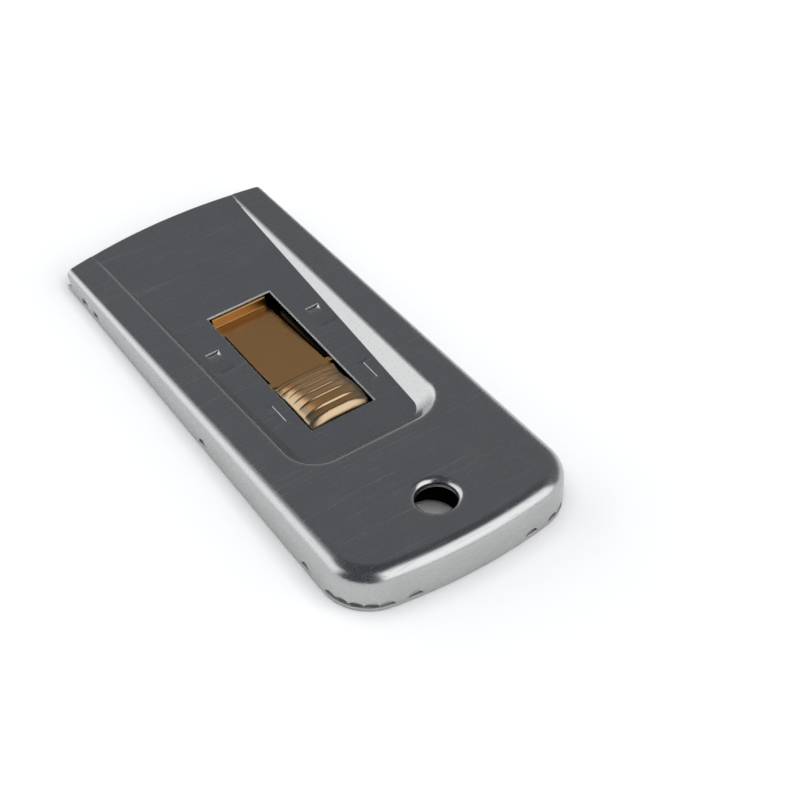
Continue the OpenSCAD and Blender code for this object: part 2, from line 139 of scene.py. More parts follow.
def new_material(name):
    """An empty material with its shader and output joined, as (material, tree, shader)."""
    material = bpy.data.materials.new(name)
    material.use_nodes = True
    tree = material.node_tree
    tree.nodes.clear()
    shader = add_node(tree, "ShaderNodeBsdfPrincipled")
    add_node(tree, "ShaderNodeOutputMaterial", inputs={"Surface": shader.outputs["BSDF"]})
    return material, tree, shader


# %% [markdown]
# Every metal of the scraper carries lines in one direction, left by a belt, by the rolls of the
# mill or by a grinding wheel. Noise stretched along one axis until it turns into lines draws them
# all, so one function makes them. The colour hardly varies: what the eye reads is how the lines
# roughen the reflection. The scratches of a real belt lie some 0.05 mm apart, which is too fine to
# show in the picture, so they are drawn as coarse as they need to be. Longer stray scratches and
# wide faint patches keep the surface from looking printed.

# %% Lines in metal
SCRATCH_STRETCH = 0.02
STRAY_MM = 0.22
STRAY_STRETCH = 0.012
STRAY_SHIFT = (7.0, 3.0, 5.0)
STRAY_FROM = 0.6
STRAY_FULL = 0.78
STRAY_ROUGH = 0.26
PATCH_MM = 6
NOISE_LOW = 0.4
NOISE_HIGH = 1.1
BENT_Z = 0.9
LEVEL_Z = 0.985
SCRATCH_BUMP = 0.25
LACQUER_ROUGHNESS = 0.25


def brushed_metal(name, hex_colour, roughness, scratch_mm, depth_mm, along=(1, 0, 0), lacquer=0.0,
                  painted_light_hex=None, grain=1.0):
    """Metal with scratches scratch_mm apart along one axis.

    A second hex colour, if given, is painted light: it is painted where the surface leaves the
    level, as shade on the spring and as a highlight on the button. grain is how far the scratches
    show."""
    material, tree, shader = new_material(name)
    place = add_node(tree, "ShaderNodeNewGeometry")
    stretch = [SCRATCH_STRETCH if a else 1.0 for a in along]
    lines = add_node(tree, "ShaderNodeMapping", {"vector_type": "POINT"},
                     {"Vector": place.outputs["Position"],
                      "Scale": [s / (scratch_mm * MM) for s in stretch]})
    fine = add_node(tree, "ShaderNodeTexNoise", inputs={
        "Vector": lines.outputs["Vector"], "Scale": 1.0, "Detail": 3.0, "Roughness": 0.6})
    patches = add_node(tree, "ShaderNodeTexNoise", inputs={
        "Vector": place.outputs["Position"], "Scale": 1 / (PATCH_MM * MM), "Detail": 2.0})
    both = add_node(tree, "ShaderNodeMath", {"operation": "MULTIPLY_ADD"},
                    {0: patches.outputs["Fac"], 1: 0.5, 2: fine.outputs["Fac"]})
    even = add_node(tree, "ShaderNodeMapRange", inputs={
        "Value": both.outputs["Value"], "From Min": NOISE_LOW, "From Max": NOISE_HIGH,
        "To Min": roughness - 0.06 * grain, "To Max": roughness + 0.08 * grain})
    spread = add_node(tree, "ShaderNodeMapping", {"vector_type": "POINT"},
                      {"Vector": place.outputs["Position"], "Location": STRAY_SHIFT,
                       "Scale": [(STRAY_STRETCH if a else 1.0) / (STRAY_MM * MM) for a in along]})
    stray = add_node(tree, "ShaderNodeTexNoise", inputs={
        "Vector": spread.outputs["Vector"], "Scale": 1.0, "Detail": 1.0})
    deep = add_node(tree, "ShaderNodeMapRange", inputs={
        "Value": stray.outputs["Fac"], "From Min": STRAY_FROM, "From Max": STRAY_FULL,
        "To Max": STRAY_ROUGH * grain})
    rough = add_node(tree, "ShaderNodeMath", {"operation": "ADD"},
                     {0: even.outputs["Result"], 1: deep.outputs["Result"]})
    tone = add_node(tree, "ShaderNodeMapRange", inputs={
        "Value": both.outputs["Value"], "From Min": NOISE_LOW, "From Max": NOISE_HIGH,
        "To Min": 1 - 0.08 * grain, "To Max": 1 + 0.06 * grain})
    base = linear(hex_colour)[:3]
    # Painted light: slopes get painted shade on the spring and a painted highlight on the button.
    if painted_light_hex:
        parts = add_node(tree, "ShaderNodeSeparateXYZ", inputs={0: place.outputs["Normal"]})
        level = add_node(tree, "ShaderNodeMapRange", inputs={
            "Value": parts.outputs["Z"], "From Min": BENT_Z, "From Max": LEVEL_Z})
        base = add_node(tree, "ShaderNodeMix", {"data_type": "RGBA"}, {
            0: level.outputs["Result"], 6: linear(painted_light_hex), 7: linear(hex_colour)}).outputs[2]
    colour = add_node(tree, "ShaderNodeVectorMath", {"operation": "SCALE"},
                      {0: base, "Scale": tone.outputs["Result"]})
    bump = add_node(tree, "ShaderNodeBump", inputs={
        "Strength": SCRATCH_BUMP * grain, "Distance": depth_mm * MM, "Height": fine.outputs["Fac"]})
    tree.links.new(colour.outputs["Vector"], shader.inputs["Base Color"])
    tree.links.new(rough.outputs["Value"], shader.inputs["Roughness"])
    tree.links.new(bump.outputs["Normal"], shader.inputs["Normal"])
    shader.inputs["Metallic"].default_value = 1.0
    shader.inputs["Coat Weight"].default_value = lacquer
    shader.inputs["Coat Roughness"].default_value = LACQUER_ROUGHNESS
    return material


# % [markdown]
# The cover is cold-rolled steel brushed across with a belt. Flat parts look dark and even, because
# they mirror the room, and every highlight breaks into fine streaks. Where the press cut the sheet,
# the metal tore instead of being polished. A torn edge scatters light to all sides, so the eye
# reads a pale, dull line round the window and the hole.

# % Steel of the cover
COVER_STEEL = brushed_metal("belt brushed steel", "#B4B4B4", 0.24, 0.18, 0.008)
SHEARED_STEEL = brushed_metal("sheared steel edge", "#DADADA", 0.75, 0.12, 0.01, along=(0, 0, 1))
print("cover:", COVER_STEEL.name, "and", SHEARED_STEEL.name)


# % [markdown]
# The base is left as the mill rolled it: its faint lines run along the strip and its shine is
# softer than the cover's. The slide's steel is painted near black as shade: it gives back little
# light, so the gap beside the tongue stays dark.

# % Steel of the base and the slide
BASE_STEEL = brushed_metal("plain rolled steel", "#B0B0B0", 0.3, 0.3, 0.006, along=(0, 1, 0))
# Painted shade: the slide is painted near black, so the gap beside the tongue stays dark.
CARRIER_STEEL = brushed_metal("slide steel blackened as painted shade", "#1C1D1F", 0.55, 0.3, 0.006, along=(0, 1, 0))
print("inside:", BASE_STEEL.name, "and", CARRIER_STEEL.name)


# % [markdown]
# A blade is ground on a fine wheel, which leaves the closest lines and the sharpest mirror of all
# the pieces. Its back is a folded strip that was never ground, so it is greyer and duller.

# % Steel of the blade
BLADE_STEEL = brushed_metal("ground blade steel", "#A4A7AA", 0.22, 0.08, 0.004, along=(0, 1, 0))
SPINE_STEEL = brushed_metal("folded strip steel", "#8D9094", 0.38, 0.3, 0.006)
print("blade:", BLADE_STEEL.name, "and", SPINE_STEEL.name)


# % [markdown]
# The spring is taken as brass under a thin coat of lacquer, which adds a clear, soft gloss over the
# warm metal. Where its surface leaves the level, each part gets a second, painted tone: painted
# shade, a dull brown, in the spring's roll and bends, and a painted highlight, a paler tan, on the
# button's flanks and rear. The level tone is the same for both.

# % Brass of the thumb spring
# Painted shade: the roll and bends of the spring are painted a darker brown.
SPRING_BRASS = brushed_metal("spring brass with painted shade in its bends", "#EFB472", 0.28, 0.18, 0.004,
                             lacquer=0.2, painted_light_hex="#86683C", grain=0.25)
# Painted highlight: the flanks and rear of the button are painted a paler tan.
BUTTON_BRASS = brushed_metal("button brass with a painted highlight on its slopes", "#EFB472", 0.28, 0.18, 0.004,
                             lacquer=0.2, painted_light_hex="#B09A7C", grain=0.25)
print("materials:", [m.name for m in bpy.data.materials])


# %% [markdown]
# The plan of the housing is two straight sides that flare towards the tail, two rounded corners and
# a shallow tail arc. Each loop of the mesh is this outline drawn in by some distance, with the same
# stations on every loop, so neighbouring loops join in clean quads.

# %% Outline of the housing
TAIL_CENTRE = TAIL_Y - TAIL_R
CORNER_X = TAIL_W / 2 - CORNER_R
CORNER_Y = TAIL_CENTRE + math.sqrt((TAIL_R - CORNER_R) ** 2 - CORNER_X ** 2)
TAIL_TURN = math.asin(CORNER_X / (TAIL_R - CORNER_R))
OVERRUN = 1.0


def flare_angle():
    """Angle of the side wall's outward normal, from the tangent between mouth and corner."""
    dx = MOUTH_W / 2 - CORNER_X
    dy = MOUTH_Y - OVERRUN - CORNER_Y
    return math.acos(CORNER_R / math.hypot(dx, dy)) + math.atan2(dy, dx)


FLARE = flare_angle()
SIDE_STEP = 0.45
CORNER_STEPS = 40
TAIL_STEPS = 70


def mouth_y(x):
    """Where the curved mouth crosses a line at x."""
    return MOUTH_Y + MOUTH_R - math.sqrt(MOUTH_R ** 2 - x ** 2)


def top_z(y):
    """Height of the sloping top plane."""
    return MOUTH_H + (y - MOUTH_Y) * RISE


def side_x(y, inset):
    """Half width of the outline on its straight side."""
    return CORNER_X + (CORNER_R - inset - (y - CORNER_Y) * math.sin(FLARE)) / math.cos(FLARE)


def outline_stations():
    """Stations from the right of the mouth round the tail to its left, as (part, share, side)."""
    side_steps = int(HOUSING_LEN / SIDE_STEP)
    half = [("side", i / side_steps) for i in range(side_steps)]
    half += [("corner", i / CORNER_STEPS) for i in range(CORNER_STEPS)]
    tail = [("tail", 1 - 2 * i / TAIL_STEPS, 1) for i in range(TAIL_STEPS + 1)]
    return [s + (1,) for s in half] + tail + [s + (-1,) for s in reversed(half)]


STATIONS = outline_stations()


def outline_place(station, inset, back=0.0):
    """(x, y) of a station on the outline drawn in by inset. back shifts its start."""
    part, share, side = station
    if part == "tail":
        turn = share * TAIL_TURN
        return ((TAIL_R - inset) * math.sin(turn), TAIL_CENTRE + (TAIL_R - inset) * math.cos(turn))
    if part == "corner":
        turn = FLARE + share * (math.pi / 2 - TAIL_TURN - FLARE)
        return (side * (CORNER_X + (CORNER_R - inset) * math.cos(turn)),
                CORNER_Y + (CORNER_R - inset) * math.sin(turn))
    start = mouth_y(side_x(MOUTH_Y, inset)) + back
    end = CORNER_Y + (CORNER_R - inset) * math.sin(FLARE)
    y = start + share * (end - start)
    return (side * side_x(y, inset), y)


def edge_radius(y):
    """Rounding of the rim, which grows from the mouth to the tail corners."""
    share = min(1.0, (y - MOUTH_Y) / (CORNER_Y - MOUTH_Y))
    return MOUTH_EDGE_R + (TAIL_EDGE_R - MOUTH_EDGE_R) * share


def run_lengths():
    """Distance of each station along the outline from the right of the mouth."""
    places = [Vector(outline_place(s, 0)) for s in STATIONS]
    runs = [0.0]
    for a, b in zip(places, places[1:]):
        runs.append(runs[-1] + (b - a).length)
    return places, runs


OUTLINE, RUNS = run_lengths()
print("outline", round(RUNS[-1], 1), "mm long with", len(STATIONS), "stations")


# %% [markdown]
# A small sheet builder keeps the pieces of one pressing welded: it hands out the same vertex for
# the same place, so strips and flats that share an edge become one surface.

# %% Sheet builder
EASE_FROM = 55
EASE_SEGMENTS = 3


class Sheet:
    """A surface in millimetres whose strips and flats weld where they meet."""

    def __init__(self, name):
        self.name = name
        self.mesh = bmesh.new()
        self.marks = self.mesh.edges.layers.float.new("bevel_weight_edge")
        self.spots = {}

    def spot(self, place):
        key = tuple(round(c, 4) for c in place)
        if key not in self.spots:
            self.spots[key] = self.mesh.verts.new(place)
        return self.spots[key]

    def face(self, places):
        corners = []
        for place in places:
            vert = self.spot(place)
            if vert not in corners:
                corners.append(vert)
        if len(corners) > 2 and not self.mesh.faces.get(corners):
            self.mesh.faces.new(corners)

    def strip(self, rows, closed=False):
        """Quads between neighbouring rows of places."""
        for low, high in zip(rows, rows[1:]):
            count = len(low)
            for i in range(count if closed else count - 1):
                j = (i + 1) % count
                self.face([low[i], low[j], high[j], high[i]])

    def flat(self, outer, holes=()):
        """A flat face inside the closed outer loop and outside the closed holes."""
        edges = []
        for loop in (outer, *holes):
            verts = [self.spot(p) for p in loop]
            verts = [v for i, v in enumerate(verts) if v is not verts[i - 1]]
            for a, b in zip(verts, verts[1:] + verts[:1]):
                edges.append(self.mesh.edges.get((a, b)) or self.mesh.edges.new((a, b)))
        made = bmesh.ops.triangle_fill(self.mesh, use_beauty=True, edges=edges)
        print(self.name, "flat:", len(made["geom"]), "parts from", len(edges), "edges")

    def mark(self, loop):
        """Marks the edges of a closed loop, which finish then rounds more than the others."""
        verts = [self.spot(p) for p in loop]
        for a, b in zip(verts, verts[1:] + verts[:1]):
            self.mesh.edges.get((a, b))[self.marks] = 1.0

    def finish(self, thickness, edge, body, metals, sharp=35, up=1, marked=0.0):
        """The sheet as an object of that thickness with eased edges, riding on a body.

        metals are the sheet's and, if it shows, its cut edge's. up is 1 when the largest face
        looks up and -1 when it looks down. edge and marked are how wide the cut edges and the
        marked loops are eased."""
        bmesh.ops.recalc_face_normals(self.mesh, faces=self.mesh.faces[:])
        top = max(self.mesh.faces, key=lambda f: f.calc_area())
        if top.normal.z * up < 0:
            bmesh.ops.reverse_faces(self.mesh, faces=self.mesh.faces[:])
        data = bpy.data.meshes.new(self.name)
        self.mesh.to_mesh(data)
        self.mesh.free()
        data.transform(Matrix.Scale(MM, 4))
        piece = bpy.data.objects.new(self.name, data)
        bpy.context.collection.objects.link(piece)
        for metal in metals:
            piece.data.materials.append(metal)
        if thickness:
            thick = piece.modifiers.new("sheet", "SOLIDIFY")
            thick.thickness = thickness * MM
            thick.offset = -1
            thick.use_even_offset = True
            thick.material_offset_rim = len(metals) - 1
            bake(piece)
        for width, method in ((marked, "WEIGHT"), (edge, "ANGLE")):
            if width:
                ease = piece.modifiers.new("eased edges", "BEVEL")
                ease.width = width * MM
                ease.segments = EASE_SEGMENTS
                ease.limit_method = method
                ease.angle_limit = math.radians(EASE_FROM)
                ease.use_clamp_overlap = False
                bake(piece)
        piece.data.shade_smooth()
        piece.data.set_sharp_from_angle(angle=math.radians(sharp))
        even = piece.modifiers.new("flats stay flat", "WEIGHTED_NORMAL")
        even.keep_sharp = True
        bake(piece)
        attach(piece, body)
        return piece


def bake(piece):
    """Turns a piece's modifiers into plain mesh."""
    graph = bpy.context.evaluated_depsgraph_get()
    data = bpy.data.meshes.new_from_object(piece.evaluated_get(graph))
    piece.modifiers.clear()
    piece.data = data


# %% [markdown]
# The cover's wall stands on the seam and rolls over into the top plane. At the mouth it is cut back
# on a slant, and half-moon crimps bite into its lower edge.

# %% Cover: wall and rim
CRIMP_LEN = 3.0
CRIMP_H = 1.2
CRIMP_R = (CRIMP_LEN ** 2 / 4 + CRIMP_H ** 2) / (2 * CRIMP_H)
SIDE_CRIMP_SHARES = (0.074, 0.114, 0.5, 0.84)
CORNER_CRIMPS = 5
CRIMP_START = math.radians(10)
CRIMP_TURN = math.radians(16)
TAIL_CRIMP_X = 0.25 * TAIL_W
WALL_LOOPS = 6
RIM_LOOPS = 12
SUPPORT = 0.25


def nearest_run(place):
    """Distance along the outline of the station nearest to a place."""
    gaps = [(Vector(place) - p).length for p in OUTLINE]
    return RUNS[gaps.index(min(gaps))]


def crimp_runs():
    """Where the crimps sit along the outline."""
    places = [(TAIL_CRIMP_X, TAIL_Y)]
    for share in SIDE_CRIMP_SHARES:
        y = MOUTH_Y + share * HOUSING_LEN
        places.append((side_x(y, 0), y))
    for i in range(CORNER_CRIMPS):
        turn = CRIMP_START + i * CRIMP_TURN
        places.append((CORNER_X + CORNER_R * math.cos(turn), CORNER_Y + CORNER_R * math.sin(turn)))
    return [nearest_run((side * x, y)) for x, y in places for side in (1, -1)]


CRIMPS = crimp_runs()


def crimp_rise(run):
    """How far the cover's lower edge rises over a crimp."""
    gap = min(abs(run - c) for c in CRIMPS)
    if gap >= CRIMP_LEN / 2:
        return 0.0
    return max(0.0, math.sqrt(CRIMP_R ** 2 - gap ** 2) - (CRIMP_R - CRIMP_H))


def rake(z):
    """How far the slanting mouth cut sets a wall back at a height."""
    return max(0.0, UNDER_Z - z)


def wall_place(index, share):
    """A place on the wall, for a share of its height."""
    station = STATIONS[index]
    y = outline_place(station, 0)[1]
    foot = SEAM_Z + crimp_rise(RUNS[index])
    head = top_z(y) - edge_radius(y)
    z = foot + share * (head - foot)
    inset = DRAFT * (z - SEAM_Z) / (head - SEAM_Z)
    return (*outline_place(station, inset, rake(z)), z)


def rim_place(index, share, extra=0.0):
    """A place on the rounded rim, from the wall at 0 to the top plane at 1."""
    station = STATIONS[index]
    y = outline_place(station, 0)[1]
    r = edge_radius(y)
    turn = share * math.pi / 2
    z = top_z(y) - r + r * math.sin(turn)
    x, y_new = outline_place(station, DRAFT + r * (1 - math.cos(turn)) + extra, rake(z))
    return (x, y_new, z + (y_new - y) * RISE * math.sin(turn))


def loop_of(place, *args):
    """One loop round the housing."""
    return [place(i, *args) for i in range(len(STATIONS))]


cover = Sheet("steel_cover")
wall_rows = [loop_of(wall_place, k / WALL_LOOPS) for k in range(WALL_LOOPS + 1)]
rim_rows = [loop_of(rim_place, k / RIM_LOOPS) for k in range(RIM_LOOPS + 1)]
shoulder_row = [(x, y, top_z(y)) for x, y, _ in loop_of(rim_place, 1, SUPPORT)]
rim_rows[-1] = [(x, y, top_z(y)) for x, y, _ in rim_rows[-1]]
cover.strip(wall_rows[:-1] + rim_rows + [shoulder_row])
print("cover wall and rim:", len(cover.mesh.faces), "faces")


# %% [markdown]
# The sunk panel is a shallow tray with a level floor. Its edge is a soft blend, then a 45 degree
# slope that meets the floor in a crisp line. Near the mouth the tray runs out to nothing, so the
# blend is cut off where it reaches the floor.

# %% Cover: edge of the sunk panel
PANEL_W = 30.4
PANEL_LEN = 72.6
PANEL_R = 6.7
PANEL_BLEND = 0.7
BLEND_R = PANEL_BLEND / math.tan(math.pi / 8)
BLEND_END = BLEND_R * math.sin(math.pi / 4) - PANEL_BLEND
PANEL_REAR = MOUTH_Y + PANEL_LEN
PANEL_SIDE_STEPS = 150
PANEL_CORNER_STEPS = 24
PANEL_REAR_STEPS = 36
BLEND_LOOPS = 8
SLOPE_LOOPS = 5
HALVINGS = 40


def panel_stations():
    """Stations from the right of the mouth round the panel's rear to its left."""
    half = [("side", i / PANEL_SIDE_STEPS) for i in range(PANEL_SIDE_STEPS)]
    half += [("corner", i / PANEL_CORNER_STEPS) for i in range(PANEL_CORNER_STEPS)]
    rear = [("rear", 1 - 2 * i / PANEL_REAR_STEPS, 1) for i in range(PANEL_REAR_STEPS + 1)]
    return [s + (1,) for s in half] + rear + [s + (-1,) for s in reversed(half)]


def panel_place(station, inward):
    """(x, y) at a distance inside the panel's edge."""
    part, share, side = station
    if part == "side":
        x = PANEL_W / 2 - inward
        start = mouth_y(x)
        return (side * x, start + share * (PANEL_REAR - PANEL_R - start))
    if part == "corner":
        turn = share * math.pi / 2
        reach = PANEL_R - inward
        return (side * (PANEL_W / 2 - PANEL_R + reach * math.cos(turn)),
                PANEL_REAR - PANEL_R + reach * math.sin(turn))
    return (share * (PANEL_W / 2 - PANEL_R), PANEL_REAR - inward)


def panel_fall(inward):
    """Depth under the top plane at a distance inside the panel's edge."""
    if inward <= -PANEL_BLEND:
        return 0.0
    if inward < BLEND_END:
        across = inward + PANEL_BLEND
        return BLEND_R - math.sqrt(BLEND_R ** 2 - across ** 2)
    return inward


def floor_reach(station):
    """Distance inside the panel's edge at which the slope meets the level floor."""
    low, high = -PANEL_BLEND, PANEL_R - 0.5
    for _ in range(HALVINGS):
        middle = (low + high) / 2
        above = top_z(panel_place(station, middle)[1]) - panel_fall(middle) > FLOOR_Z
        low, high = (middle, high) if above else (low, middle)
    return low


def panel_column(station):
    """Places down the panel's edge, from the top plane to the floor."""
    reach = floor_reach(station)
    turns = [math.pi / 4 * k / BLEND_LOOPS for k in range(BLEND_LOOPS + 1)]
    steps = [min(reach, BLEND_R * math.sin(t) - PANEL_BLEND) for t in turns]
    steps += [steps[-1] + (reach - steps[-1]) * k / SLOPE_LOOPS for k in range(1, SLOPE_LOOPS + 1)]
    column = []
    for inward in [-PANEL_BLEND - SUPPORT] + steps:
        x, y = panel_place(station, inward)
        column.append((x, y, top_z(y) - panel_fall(inward)))
    x, y, _ = column[-1]
    column[-1] = (x, y, FLOOR_Z)
    x, y = panel_place(station, reach + SUPPORT)
    return column + [(x, y, FLOOR_Z)]


panel_columns = [panel_column(s) for s in panel_stations()]
panel_rows = [list(row) for row in zip(*panel_columns)]
cover.strip(panel_rows)
print("panel edge loops:", len(panel_rows))


# %% [markdown]
# The hanging hole is pierced through a dished lip. The lip leaves the top plane in an arc, and the
# cut edge of the sheet makes the short bright wall of the hole.

# %% Cover: top plane and hanging hole
HOLE_R = 3.7
LIP_R = 4.9
DISH_DEPTH = 0.73
DISH_W = LIP_R - HOLE_R
DISH_R = (DISH_W ** 2 + DISH_DEPTH ** 2) / (2 * DISH_DEPTH)
DISH_TURN = math.asin(DISH_W / DISH_R)
HOLE_WALL = 0.95
HOLE_Y = TAIL_Y - 11.9
HOLE_STEPS = 96
DISH_LOOPS = 7
WALL_RINGS = 3
MOUTH_STEP = 0.6


def ring(radius, fall):
    """A ring round the hole at a depth under the top plane."""
    turns = [2 * math.pi * i / HOLE_STEPS for i in range(HOLE_STEPS)]
    places = [(radius * math.cos(t), HOLE_Y + radius * math.sin(t)) for t in turns]
    return [(x, y + fall * RISE, top_z(y) - fall) for x, y in places]


def hole_rings():
    """Rings from the flat plane over the lip and down the cut edge."""
    rings = [ring(LIP_R + SUPPORT, 0)]
    for k in range(DISH_LOOPS + 1):
        turn = DISH_TURN * k / DISH_LOOPS
        rings.append(ring(LIP_R - DISH_R * math.sin(turn), DISH_R * (1 - math.cos(turn))))
    for k in range(1, WALL_RINGS + 1):
        rings.append(ring(HOLE_R, DISH_DEPTH + HOLE_WALL * k / WALL_RINGS))
    return rings


def mouth_run(x_from, x_to, height):
    """Places along the curved mouth between two x, at a height worked out from y."""
    count = max(1, int(abs(x_to - x_from) / MOUTH_STEP))
    xs = [x_from + (x_to - x_from) * i / count for i in range(1, count)]
    return [(x, mouth_y(x), height(mouth_y(x))) for x in xs]


rings = hole_rings()
cover.strip(rings, closed=True)
right_gap = mouth_run(panel_rows[0][0][0], shoulder_row[0][0], top_z)
left_gap = mouth_run(shoulder_row[-1][0], panel_rows[0][-1][0], top_z)
cover.flat(shoulder_row + left_gap + list(reversed(panel_rows[0])) + right_gap, [rings[0]])
print("hole wall", round(HOLE_WALL, 2), "mm long")


# %% [markdown]
# The panel floor is flat sheet with a window for the thumb. Beside it are two lances bent down to
# stop the slide, and four shallow coined marks, all made by the same press stroke.

# %% Cover: panel floor
WINDOW_W = 13.24
WINDOW_LEN = 34
WINDOW_FRONT = MOUTH_Y + 27.7
WINDOW_REAR = WINDOW_FRONT + WINDOW_LEN
WINDOW_EASED = 0.22
LANCE_X = 10.7
LANCE_W = 2.6
LANCE_LEN = 2.5
LANCE_DROP = 0.5
LANCE_SLIT = 0.2
LANCE_Y = WINDOW_FRONT + 8
LANCE_ROWS = 8
LANCE_COLUMNS = 10
ACROSS_Y = WINDOW_FRONT + 13.4
ACROSS_LEN = 3.5
ALONG_X = 9.7
ALONG_Y = WINDOW_FRONT + 27.3
ALONG_LEN = 5.3
PRESS_W = 1.4
PRESS_DEPTH = 0.08
PRESS_STEEP = 0.08
PRESS_GENTLE = 0.42
PRESS_RIM_R = 0.5
PRESS_FOOT_R = 0.2
PRESS_CORNER_STEPS = 4


def rounded_rectangle(x, y, width, length, radius, z):
    """A closed loop round a rectangle with rounded corners."""
    loop = []
    for quarter, (side, end) in enumerate(((1, 1), (-1, 1), (-1, -1), (1, -1))):
        for k in range(PRESS_CORNER_STEPS + 1):
            turn = math.radians(90 * (quarter + k / PRESS_CORNER_STEPS))
            loop.append((x + side * (width / 2 - radius) + radius * math.cos(turn),
                         y + end * (length / 2 - radius) + radius * math.sin(turn), z))
    return loop


def press_mark(x, y, width, length):
    """A shallow coined mark, as its rim, which is a hole for the floor."""
    across, along = (PRESS_STEEP, PRESS_GENTLE) if length > width else (PRESS_GENTLE, PRESS_GENTLE)
    rim = rounded_rectangle(x, y, width, length, PRESS_RIM_R, FLOOR_Z)
    foot = rounded_rectangle(x, y, width - 2 * across, length - 2 * along, PRESS_FOOT_R,
                             FLOOR_Z - PRESS_DEPTH)
    cover.strip([rim, foot], closed=True)
    cover.flat(foot)
    return rim


def grown(loop, gap):
    """The loop scaled about its middle, so that it lies a gap further out on each side."""
    xs, ys = [p[0] for p in loop], [p[1] for p in loop]
    middle_x, middle_y = (min(xs) + max(xs)) / 2, (min(ys) + max(ys)) / 2
    scale_x, scale_y = 1 + 2 * gap / (max(xs) - min(xs)), 1 + 2 * gap / (max(ys) - min(ys))
    return [(middle_x + (x - middle_x) * scale_x, middle_y + (y - middle_y) * scale_y, z)
            for x, y, z in loop]


def lance(side):
    """A lance slit at its front and drawn down there, and the loop that it fills in the floor."""
    low, high = sorted((side * (LANCE_X - LANCE_W / 2), side * (LANCE_X + LANCE_W / 2)))
    hinge_y = LANCE_Y + LANCE_LEN
    rows = []
    for k in range(LANCE_ROWS + 1):
        share = k / LANCE_ROWS
        row = []
        for i in range(LANCE_COLUMNS + 1):
            across = abs(2 * i / LANCE_COLUMNS - 1)
            row.append((low + (high - low) * i / LANCE_COLUMNS, hinge_y - LANCE_LEN * share,
                        FLOOR_Z - LANCE_DROP * share ** 2 * (1 - across ** 4)))
        rows.append(row)
    cover.strip(rows)
    front_y = LANCE_Y - LANCE_SLIT
    front = [(high, front_y, FLOOR_Z), (low, front_y, FLOOR_Z)]
    rim = (rows[0] + [row[-1] for row in rows[1:]] + front
           + [row[0] for row in reversed(rows[1:])])
    cover.strip([grown(rim, SUPPORT), rim], closed=True)
    return grown(rim, SUPPORT)


window = [(-WINDOW_W / 2, WINDOW_FRONT), (WINDOW_W / 2, WINDOW_FRONT),
          (WINDOW_W / 2, WINDOW_REAR), (-WINDOW_W / 2, WINDOW_REAR)]
window = [(x, y, FLOOR_Z) for x, y in window]
cover.strip([grown(window, SUPPORT), window], closed=True)
floor_holes = [grown(window, SUPPORT)]
for side in (1, -1):
    floor_holes.append(press_mark(side * LANCE_X, ACROSS_Y, ACROSS_LEN, PRESS_W))
    floor_holes.append(press_mark(side * ALONG_X, ALONG_Y, PRESS_W, ALONG_LEN))
    floor_holes.append(lance(side))
floor_edge = panel_rows[-1]
mouth_edge = mouth_run(floor_edge[-1][0], floor_edge[0][0], lambda y: FLOOR_Z)
cover.flat(floor_edge + mouth_edge, floor_holes)
cover.mark(window)
steel_cover = cover.finish(COVER_T, EASED, "housing", [COVER_STEEL, SHEARED_STEEL],
                           marked=WINDOW_EASED)
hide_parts("top_cover")
print("steel cover:", len(steel_cover.data.polygons), "faces")


# %% [markdown]
# The thumb spring is one strip of brass. Its tab is riveted under the panel, a roll drops it
# towards the base, and the tongue climbs back to the button in the window. Two shoulders under the
# panel keep it from springing out.

# %% Thumb spring: tab, roll and tongue
SPRING_T = 0.4
TONGUE_W = 11.5
SHOULDER_W = 15.2
SHOULDER_LEN = 1.2
BUTTON_W = 12.8
BUTTON_LEN = 12.92
BUTTON_REAR = WINDOW_REAR - 0.3
FOLD_Y = BUTTON_REAR - BUTTON_LEN
SHOULDER_Y = FOLD_Y - SHOULDER_LEN
SHOULDER_TOP = UNDER_Z - 0.15
TAB_TOP = UNDER_Z - SPRING_T
ROLL_Y = WINDOW_FRONT - 0.45
ROLL_R = 0.5
SAG_R = 0.3
ROLL_TURN = math.radians(72)
LOW_TOP = PAN_T + 2.1 * SPRING_T
RIVET_Y = WINDOW_FRONT - 2.3
TAB_FRONT = RIVET_Y - 1.8
RIVET_X = TONGUE_W / 4
RIVET_HOLE_R = 1.05
WALL_LEN = (TAB_TOP - LOW_TOP - (ROLL_R + SAG_R) * (1 - math.cos(ROLL_TURN))) / math.sin(ROLL_TURN)
LOW_Y = ROLL_Y + (ROLL_R + SAG_R) * math.sin(ROLL_TURN) + WALL_LEN * math.cos(ROLL_TURN)
ROLL_STEPS = 14
SAG_STEPS = 12
TONGUE_STEPS = 12
TONGUE_XS = [TONGUE_W * (i / TONGUE_STEPS - 0.5) for i in range(TONGUE_STEPS + 1)]
TONGUE_SUPPORTS = (-14, -8)
WING_STEPS = 3
RIVET_STEPS = 24


def tongue_line():
    """Top line of the spring in Y and Z, from the roll to the fold."""
    line = []
    for k in range(ROLL_STEPS + 1):
        turn = ROLL_TURN * k / ROLL_STEPS
        line.append((ROLL_Y + ROLL_R * math.sin(turn), TAB_TOP - ROLL_R * (1 - math.cos(turn))))
    climb = math.atan((SHOULDER_TOP - LOW_TOP) / (FOLD_Y + SPRING_T - LOW_Y))
    for k in range(SAG_STEPS + 1):
        turn = -ROLL_TURN + (ROLL_TURN + climb) * k / SAG_STEPS
        line.append((LOW_Y + SAG_R * math.sin(turn), LOW_TOP + SAG_R * (1 - math.cos(turn))))
    y_from, z_from = line[-1]
    end_y = FOLD_Y + SPRING_T
    for y in (*TONGUE_SUPPORTS, SHOULDER_Y, FOLD_Y, end_y):
        line.append((y, z_from + (SHOULDER_TOP - z_from) * (y - y_from) / (end_y - y_from)))
    return line


